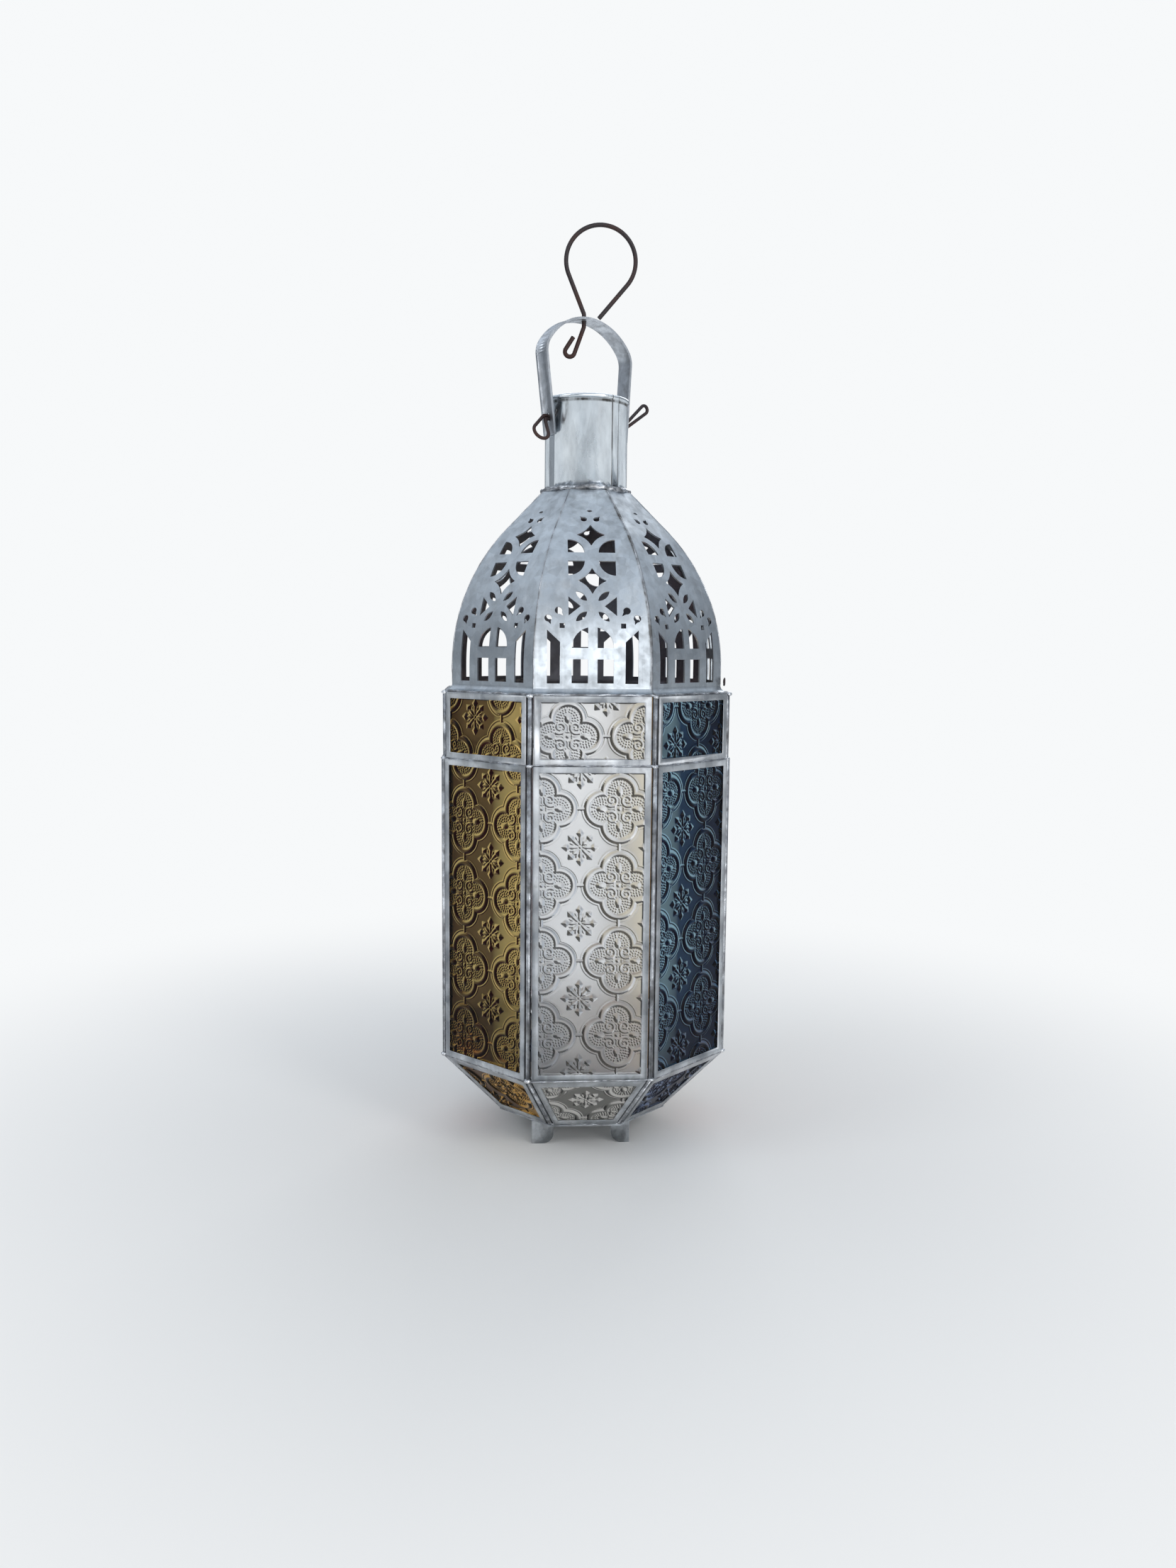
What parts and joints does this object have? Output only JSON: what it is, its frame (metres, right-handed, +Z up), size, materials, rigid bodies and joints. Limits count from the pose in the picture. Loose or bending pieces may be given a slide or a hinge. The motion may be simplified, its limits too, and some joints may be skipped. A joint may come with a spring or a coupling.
{
  "type": "hanging candle lantern",
  "caption": "Octagonal hanging tin lantern with pressed coloured glass panes, a pierced dome, a strap handle on wire pins, a swivelling hook and a hinged door.",
  "frame": {"origin": "centre of the lantern on the surface that its feet stand on", "axes": "+Z up along the lantern's axis, -Y out of the front clear pane, +Y out of the door in the back"},
  "size_m": [0.145, 0.1495, 0.4652],
  "materials": {
    "tinplate": "satin",
    "solder": "satin",
    "iron_wire": "matte",
    "clear_glass": "gloss",
    "blue_glass": "gloss",
    "ruby_glass": "gloss",
    "amber_glass": "gloss"
  },
  "bodies": {
    "lantern": {"dome_panel_1": "tinplate", "dome_panel_2": "tinplate", "dome_panel_3": "tinplate", "dome_panel_4": "tinplate", "dome_panel_5": "tinplate", "dome_panel_6": "tinplate", "dome_panel_7": "tinplate", "dome_panel_8": "tinplate", "band_glass_1": "clear_glass", "band_glass_2": "blue_glass", "band_glass_3": "ruby_glass", "band_glass_4": "amber_glass", "band_glass_5": "clear_glass", "band_glass_6": "blue_glass", "band_glass_7": "ruby_glass", "band_glass_8": "amber_glass", "main_frame_1": "tinplate", "main_frame_2": "tinplate", "main_frame_3": "tinplate", "main_frame_4": "tinplate", "main_frame_6": "tinplate", "main_frame_7": "tinplate", "main_frame_8": "tinplate", "main_glass_1": "clear_glass", "main_glass_2": "blue_glass", "main_glass_3": "ruby_glass", "main_glass_4": "amber_glass", "main_glass_6": "blue_glass", "main_glass_7": "ruby_glass", "main_glass_8": "amber_glass", "taper_glass_1": "clear_glass", "taper_glass_2": "blue_glass", "taper_glass_3": "ruby_glass", "taper_glass_4": "amber_glass", "taper_glass_5": "clear_glass", "taper_glass_6": "blue_glass", "taper_glass_7": "ruby_glass", "taper_glass_8": "amber_glass", "band_frames": "tinplate", "taper_frames": "tinplate", "seam_strips": "solder", "taper_seams": "solder", "base_plate": "tinplate", "candle_cup": "tinplate", "foot_1": "tinplate", "foot_2": "tinplate", "foot_3": "tinplate", "foot_4": "tinplate", "neck_tube": "tinplate", "neck_collar": "solder", "pin_left": "iron_wire", "pin_right": "iron_wire", "door_hinge_wire": "iron_wire", "wire_tie": "iron_wire"},
    "handle": {"handle": "tinplate"},
    "hook": {"hook": "iron_wire"},
    "door": {"door_frame": "tinplate", "door_glass": "clear_glass", "door_pull": "iron_wire"}
  },
  "joints": [
    {"name": "handle_swing", "type": "hinge", "parent": "lantern", "child": "handle", "pos_m": [0, 0, 0.3677], "axis": [0.8526, 0.5225, 0], "range_deg": [-105, 105]},
    {"name": "hook_swivel", "type": "hinge", "parent": "handle", "child": "hook", "pos_m": [-0.0017, -0.00104, 0.4175], "axis": [0, 0, 1], "continuous": true},
    {"name": "door_swing", "type": "hinge", "parent": "lantern", "child": "door", "pos_m": [-0.02952, 0.07127, 0.1224], "axis": [0, 0, 1], "range_deg": [0, 110]}
  ]
}
